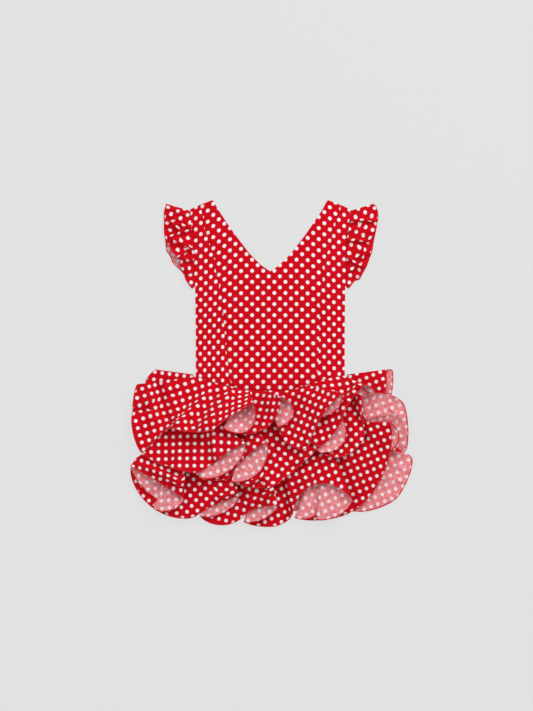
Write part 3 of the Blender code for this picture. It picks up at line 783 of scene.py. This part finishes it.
def skirtPiece(name, waist, footHalf, topHeight, footHeight):
    # a flared piece: straight rays from the waist to a foot that dips by dip * (1 - u squared)
    columns, rows = skirtBase["points"]
    u = np.linspace(-1, 1, columns)
    topX = u * skirtBase["topHalf"]
    top = np.column_stack([topX, column(waist, topX, 0, 1) - skirtBase["topGap"], topHeight(topX)])
    footY = skirtBase["footSide"] - skirtBase["footDip"] * (1 - u ** 2)
    foot = np.column_stack([u * footHalf, footY, np.full_like(u, footHeight)])
    v = np.linspace(0, 1, rows)[None, :, None]
    middle = top[:, None] + (foot - top)[:, None] * v
    plan = middle[..., :2]
    piece = clothShell(name, middle, plan, plain, plain, -1)
    declared(plan)
    return piece


baseFront = skirtPiece("skirt_base_front", bodice["waist"], skirtBase["frontFootHalf"], baseTop,
                       skirtBase["frontFootHeight"])
baseBack = skirtPiece("skirt_base_back", bodice["backWaist"], skirtBase["backFootHalf"], backTop,
                      skirtBase["backFootHeight"])
print("skirt base ready")

# Tiers and frills: "step" is from point to point along the hem, "rows" the points from seam to hem, "waves"
# the lengths and heights of soft waves. A row of "seam" is share along the seam, x, y, z. A row of "hem" is a
# fold: share along the seam, x, y, z, and how far the hem bows to the left of its travel on its way to the
# next. "Under" is the underside of the fold before it.

tier1Front = {
    "step": 2.4, "rows": 38, "seed": 11, "printTurn": 36, "waves": ((21, 0.5), (38, 1.6), (64, 2.6)),
    "seam": tier1Seam(),
    "hem": [
        (0.000, -232, -14, 22, 0),  # left lobe, upper corner
        (0.028, -239, -55, 25, -2),  # crease
        (0.034, -240, -65, 21, 0),
        (0.060, -223, -134, 24, -7),  # left lobe, lower corner
        (0.120, -181, -92, 28, 0),  # foot of the left fan's side
        (0.150, -171, -88, 45, 0),  # left fan, side
        (0.195, -134, -96, 44, -2),  # crease
        (0.203, -125, -96, 57, 0),
        (0.230, -99, -93, 57, 0),  # left fan, lowest
        (0.360, -30, -47, 66, 3),  # left fan, tip
        (0.335, -82, -89, 46, 32),  # under
        (0.370, -60, -96, 44, -2),  # flute, lower turn
        (0.470, 17, -35, 52, -27),  # flute, tip
        (0.455, 13, -88, 38, 26),  # under
        (0.540, 22, -107, 34, 0),  # middle fan, lower turn
        (0.600, 65, -125, 50, -7),  # middle fan, lowest
        (0.740, 125, -29, 63, 9),  # middle fan, tip
        (0.722, 90, -69, 47, 11),  # under
        (0.710, 60, -101, 40, 0),  # tucked under the middle fan
        (0.728, 84, -122, 41, -3),  # right fan, lowest
        (0.830, 127, -62, 50, -8),  # right fan, side
        (0.880, 137, -46, 48, 0),  # crease
        (0.890, 141, -40, 40, 0),
        (0.940, 150, -30, 44, 0),  # crease
        (0.950, 153, -26, 37, 0),
        (1.000, 158, -17, 39, -1),  # side fan, tip
        (0.992, 184, -35, 22, 9),  # under, to the side seam
    ],
}

tier2Front = {
    "step": 2.4, "rows": 38, "seed": 12, "waves": ((23, 0.5), (39, 1.6), (61, 2.6)),
    "seam": [
        (0, -163, -61, 10.9), (0.3, -90, -67, 11), (0.55, 0, -72, 11), (0.8, 95, -62, 11),
        (0.92, 136, -47, 9.8), (1, 143, -28, 8),
    ],
    "hem": [
        (0.000, -211, -110, 14, 0),  # side seam
        (0.030, -224, -133, 18, 0),  # side corner
        (0.065, -176, -157, 26, -4),  # crease
        (0.072, -167, -160, 34, 0),
        (0.110, -127, -168, 35, -1),  # left fan, lowest
        (0.150, -99, -152, 34, 0),  # crease
        (0.158, -92, -146, 43, 0),
        (0.240, -43, -116, 47, 3),  # left fan, tip
        (0.215, -124, -176, 29, 22),  # under
        (0.260, -72, -179, 28, -3),  # second fan, lowest
        (0.430, -7, -114, 44, 7),  # second fan, tip
        (0.405, -67, -183, 27, 25),  # under
        (0.500, -3, -194, 33, -4),  # third fan, lowest
        (0.560, 34, -170, 34, -2),
        (0.720, 125, -74, 39, -4),  # third fan, tip
        (0.665, 84, -131, 33, 26),  # under
        (0.800, 127, -139, 27, -5),  # right fan, lowest
        (0.940, 165, -104, 27, -5),  # right fan, side
        (1.000, 160, -33, 32, 3),  # right fan, tip, to the side seam
    ],
}

tier3Front = {
    "step": 2.4, "rows": 38, "seed": 13, "waves": ((22, 0.4), (41, 0.8), (67, 1.1)),
    "seam": [
        (0, -184, -109, 11.6), (0.25, -93, -116.6, 11.6), (0.5, 0, -119.5, 11.6),
        (0.75, 93, -116.6, 11.6), (0.93, 168, -110, 11.6), (1, 153, -79, 10.6),
    ],
    "hem": [
        (0.000, -236, -144, 13, 0),  # side seam
        (0.014, -246, -156, 13, 2),  # side corner
        (0.110, -151, -212, 28, 2),  # left fan, tip
        (0.095, -204, -229, 18, 14),  # under, lowest
        (0.092, -196, -214, 11, 0),  # under, crease
        (0.070, -243, -160, 7, 7),  # under, side
        (0.150, -130, -244, 14, -33),  # second fan, lowest
        (0.270, -53, -208, 22, 4),  # second fan, tip
        (0.245, -123, -243, 9, 14),  # under
        (0.340, -48, -244, 14, -16),  # third fan, lowest
        (0.470, 13, -226, 26, 7),  # third fan, tip
        (0.445, -46, -254, 8, 10),  # under
        (0.505, 14, -260, 8, -5),  # valley
        (0.535, 33, -250, 4, -1),
        (0.548, 39, -240, 19, 0),  # fourth fan, lowest
        (0.770, 143, -216, 29, 42),  # fourth fan, tip
        (0.752, 80, -249, 18, 12),  # under, lowest
        (0.750, 82, -240, 9, 0),  # under, crease
        (0.735, 43, -246, 6, 6),  # under
        (0.830, 143, -235, 7, -10),  # right fan, lowest
        (1.000, 207, -80, 32, -25),  # right fan, tip
        (0.975, 207, -131, 20, 17),  # under
        (0.990, 237, -135, 13, 2),  # side seam
    ],
}

tier1Back = {
    "step": 3.5, "rows": 20, "sag": 1.0, "seed": 14, "waves": ((35, 0.15),), "hemWave": 0.2,
    "seam": [
        (0, 136, -9, 4.6), (0.05, 136, 3, 4.6), (0.07, 136, 3, 2), (0.12, 132, -2, 0.8),
        (0.25, 60, -6.6, 0.6), (0.5, 0, -8.6, 0.6), (0.75, -60, -6.6, 0.6), (0.88, -132, -2.4, 0.8),
        (0.93, -136, 3, 2), (0.95, -136, 3, 4.6), (1, -136, -9, 4.6),
    ],
    "hem": [
        (0.00, 199, -35, 9, 0),  # right lobe, lower corner
        (0.05, 202, 12, 10, -2),  # right lobe, upper corner
        (0.07, 213, 12, 6, 0),  # under, upper corner
        (0.12, 211, -33, 3, 2),  # under, lower corner
        (0.20, 130, -84, 0.6, 4), (0.28, 96, -90, 1.1, 0), (0.36, 60, -94, 0.6, 0),
        (0.44, 28, -95, 1.1, 0), (0.52, -8, -96, 0.6, 0), (0.60, -44, -95, 1.1, 0),
        (0.70, -90, -91, 0.6, 0), (0.80, -132, -84, 1.1, 0), (0.88, -193, -49, 0.8, 3),
        (0.93, -198, 10, 2.2, 0),  # left lobe, under
        (0.95, -198, 12, 9, 0),  # left lobe, upper corner
        (1.00, -218, -14, 9, -4),  # left lobe, lower corner
    ],
}

tier2Back = {
    "step": 2.4, "rows": 36, "sag": 1.0, "seed": 15, "waves": ((35, 0.2),), "hemWave": 0.2,
    "lifts": (1.5, 5.0),
    "creases": [
        (164, -76, 212, -66, 3, 4),  # puckers across the right end
        (160, -85, 222, -82, 3, -5), (162, -95, 220, -95, 3, 4),
        (176, -106, 228, -107, 3.2, 3.5), (206, -56, 228, -72, 3.2, 3),
        (206, -126, 236, -119, 3.2, 2.5),
    ],
    "seam": [
        (0, 161, -38, 4.4), (0.10, 162, -54, 4), (0.15, 153, -62, 2.8), (0.5, 0, -66, 2.8),
        (1, -155, -60, 2.8),
    ],
    "hem": [
        (0.00, 167, -31, 16, 0),  # right end, upper corner
        (0.055, 232, -47, 9, 9),  # round of its upper edge
        (0.10, 237, -130, 3.5, 6),  # lower corner
        (0.17, 170, -160, 0.6, 3), (0.26, 120, -168, 1.7, 0), (0.35, 70, -175, 0.6, 0),
        (0.45, 24, -178, 1.7, 0), (0.54, -18, -178, 0.6, 0), (0.64, -64, -177, 1.7, 0),
        (0.74, -104, -173, 0.6, 0), (0.84, -150, -165, 1.7, 0), (0.93, -190, -150, 0.6, 0),
        (1.00, -215, -124, 1.5, 2),
    ],
}

tier3Back = {
    "step": 2.4, "rows": 40, "sag": 1.0, "seed": 16, "waves": ((35, 0.2),), "hemWave": 0.2,
    "lifts": (1.0, 4.0),
    "creases": [
        (184, -226, 206, -202, 2.8, 2.5),  # puckers near the hem on the right
        (194, -228, 216, -204, 2.8, 2.5), (204, -226, 225, -206, 2.8, 2.5),
        (188, -176, 238, -186, 3.5, 2.5), (206, -150, 240, -166, 3.5, 2),
    ],
    "seam": [
        (0, 178, -109, 5.2), (0.25, 92, -116.6, 5.2), (0.5, 0, -119.5, 5.2), (0.75, -92, -116.6, 5.2),
        (1, -178, -109, 5.2),
    ],
    "hem": [
        (0.00, 240, -136, 6, 0),  # side seam
        (0.03, 248, -150, 5, 3),  # right side
        (0.10, 220, -213, 3, 5),  # right side, lower
        (0.20, 153, -236, 2, 6),  # right, lowest
        (0.29, 110, -234, 0.6, 0), (0.38, 66, -232, 2.4, 0), (0.47, 18, -238, 0.6, 0),
        (0.56, -30, -240, 2.4, 0), (0.65, -76, -236, 0.6, 0), (0.74, -116, -236, 2.4, 0),
        (0.83, -156, -230, 0.6, 0), (0.90, -196, -220, 2.2, 4), (0.97, -232, -189, 0.6, 4),
        (1.00, -236, -158, 1.5, 2),
    ],
}

frillRight = {
    "step": 1.0, "rows": 48, "seed": 17, "waves": ((14, 0.2), (23, 0.35)), "lifts": (2.0, 6.0), "fade": 6.0,
    "creases": [  # folds that start at the armhole's gathers
        (137, 271, 186, 272, 1.9, 6.5), (136, 267, 182, 267, 1.8, -4), (136, 237, 175, 236, 1.9, 6.5),
        (138, 232, 174, 231, 1.8, -4), (134, 208, 158, 190, 1.9, 6), (135, 183, 156, 188, 1.8, 5),
        (136, 200, 162, 212, 1.8, 4.5), (163, 228, 159, 196, 1.8, 5), (134, 253, 158, 257, 1.8, 4),
        (134, 290, 160, 292, 2.2, 2),
    ],
    "seam": [
        (0, 131.5, 158, 4.6), (0.12, 133.5, 184, 4.8), (0.22, 133.5, 212, 5), (0.32, 134.6, 242, 5),
        (0.42, 138.6, 264, 4.6), (0.485, 140.1, 289, 4), (0.515, 140.1, 289, 0.6),
        (0.58, 138.6, 264, 0.6), (0.68, 134.6, 242, 0.6), (0.78, 133.5, 212, 0.6),
        (0.88, 133.5, 184, 0.6), (1, 131.5, 158, 0.6),
    ],
    "hem": [
        (0.00, 136, 153, 4.6, 0), (0.03, 144, 163, 8, 2), (0.06, 155, 168, 4.4, 2),
        (0.09, 160, 178, 11, 0), (0.12, 164, 185, 4.8, 0), (0.15, 167, 193, 11, 0),
        (0.19, 171, 203, 5.2, 0), (0.24, 177, 216, 13, 0), (0.29, 180, 236, 5.6, 0),
        (0.35, 184, 254, 14, 0), (0.40, 187, 270, 5.6, 0), (0.45, 187, 288, 11, -1),
        (0.475, 184, 299, 7, 0), (0.49, 178, 302, 5, 1), (0.51, 181, 301, 2.6, 0),
        (0.56, 186, 286, 1.6, 0), (0.62, 186, 266, 0.8, 0), (0.70, 180, 240, 1.8, 0),
        (0.78, 176, 214, 0.8, 0), (0.85, 168, 192, 1.8, 0), (0.92, 160, 178, 0.8, 0),
        (0.97, 146, 165, 1.6, -2), (1.00, 136, 153, 0.6, 0),
    ],
}

frillLeft = {
    "step": 1.0, "rows": 48, "turn": 1, "seed": 18, "waves": ((13, 0.2), (24, 0.35)),
    "lifts": (2.0, 6.0), "fade": 6.0,
    "creases": [
        (-180, 273, -158, 257, 1.9, 6.5), (-168, 268, -137, 258, 1.8, 5.5),
        (-178, 243, -138, 256, 1.9, 6.5), (-170, 238, -136, 222, 1.9, 6),
        (-161, 207, -136, 224, 1.8, 6), (-159, 206, -133, 201, 1.8, 6),
        (-150, 187, -135, 195, 2.2, 3), (-166, 284, -137, 280, 2.2, 2.5),
        (-160, 246, -138, 240, 2.2, -3), (-150, 214, -136, 210, 2.2, -3.5),
        (-182, 292, -140, 284, 1.7, 3.5), (-181, 281, -152, 268, 1.7, 3),
        (-183, 259, -160, 250, 1.7, -3.5), (-150, 176, -136, 183, 1.7, 3.5),
    ],
    "seam": [(share, -x, y, z) for share, x, y, z in frillRight["seam"]],
    "hem": [
        (0.00, -136, 153, 4.6, 0), (0.03, -146, 165, 8, -2), (0.07, -152, 182, 4.4, 0),
        (0.11, -157, 191, 11, 0), (0.15, -157, 203, 5, 0), (0.19, -167, 213, 12, 0),
        (0.23, -176, 227, 5.4, 0), (0.29, -184, 243, 13, 0), (0.34, -185, 255, 5.6, 0),
        (0.39, -185, 265, 12, 0), (0.42, -185, 272, 5.6, 0), (0.46, -185, 288, 9, 0),
        (0.49, -181, 302, 5, 0), (0.51, -181, 302, 2.6, 0), (0.56, -185, 286, 1.6, 0),
        (0.62, -185, 266, 0.8, 0), (0.70, -183, 240, 1.8, 0), (0.78, -181, 218, 0.8, 0),
        (0.85, -171, 199, 1.8, 2), (0.92, -158, 186, 0.8, 0), (0.97, -146, 166, 1.6, 2),
        (1.00, -136, 153, 0.6, 0),
    ],
}

ruffles = [
    ruffle("frill_left", frillLeft),
    ruffle("frill_right", frillRight),
    ruffle("tier_1_front", tier1Front),
    ruffle("tier_2_front", tier2Front),
    ruffle("tier_3_front", tier3Front),
    ruffle("tier_1_back", tier1Back),
    ruffle("tier_2_back", tier2Back),
    ruffle("tier_3_back", tier3Back),
]
print("ruffles ready")

for piece in (centre, leftPanel, rightPanel, backPanel):
    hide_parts(piece["cadNode"])
for piece in (baseFront, baseBack):
    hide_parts(piece["cadNode"])
for piece, hem in ruffles:
    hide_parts(piece["cadNode"])

studio = {
    "floor": 0.766,  # linear grey of the table
    "floorGlow": 0.9,  # share of it that needs no light
    "floorHalf": 6.0, "floorDrop": 0.0004,  # metres
    "sky": 0.44,
    "keyPower": 78.0, "keySize": 2.2, "keyAt": (1.5, 2.0, 2.35),
    "fillPower": 20.0, "fillSize": 2.5, "fillAt": (-2.2, -0.6, 2.2),
}
lens = {
    "distance": 6.0, "farthest": 50.0,
    "pictureHeight": 1.24425,  # metres across the picture's longer side
    "lookX": -0.0085, "lookY": 0.0135,
    "length": 150.0,
}


def areaLight(name, place, power, size):  # aimed at 0, 0, 0
    data = bpy.data.lights.new(name, "AREA")
    data.energy = power
    data.size = size
    light = placed(name, data)
    light.location = place
    light.rotation_euler = (-Vector(place)).to_track_quat("-Z", "Y").to_euler()


def paleTable():
    mesh = bpy.data.meshes.new("table")
    half = studio["floorHalf"]
    plan = [(-half, -half), (half, -half), (half, half), (-half, half)]
    mesh.from_pydata([(x, y, -studio["floorDrop"]) for x, y in plan], [], [(0, 1, 2, 3)])
    paint = Cloth("pale_table", roughness=0.9, specular=0.1)
    grey = studio["floor"]
    paint.shader.inputs["Base Color"].default_value = (grey * (1 - studio["floorGlow"]),) * 3 + (1,)
    paint.shader.inputs["Emission Color"].default_value = (1, 1, 1, 1)
    paint.shader.inputs["Emission Strength"].default_value = grey * studio["floorGlow"]
    mesh.materials.append(paint.material)
    placed("table", mesh)


paleTable()
areaLight("key", studio["keyAt"], studio["keyPower"], studio["keySize"])
areaLight("fill", studio["fillAt"], studio["fillPower"], studio["fillSize"])
world = bpy.data.worlds.new("studio")
bpy.context.scene.world = world
world.use_nodes = True
sky = world.node_tree.nodes["Background"]
sky.inputs["Color"].default_value = (1, 1, 1, 1)
sky.inputs["Strength"].default_value = studio["sky"]

camera = bpy.data.cameras.new("camera")
camera.lens = lens["length"]
camera.sensor_fit = "AUTO"
camera.sensor_width = lens["length"] * lens["pictureHeight"] / lens["distance"]
camera.clip_end = lens["farthest"]
eye = placed("camera", camera)
eye.location = (lens["lookX"], lens["lookY"], lens["distance"])
bpy.context.scene.camera = eye
bpy.context.scene.view_settings.view_transform = "Standard"
print("studio ready")
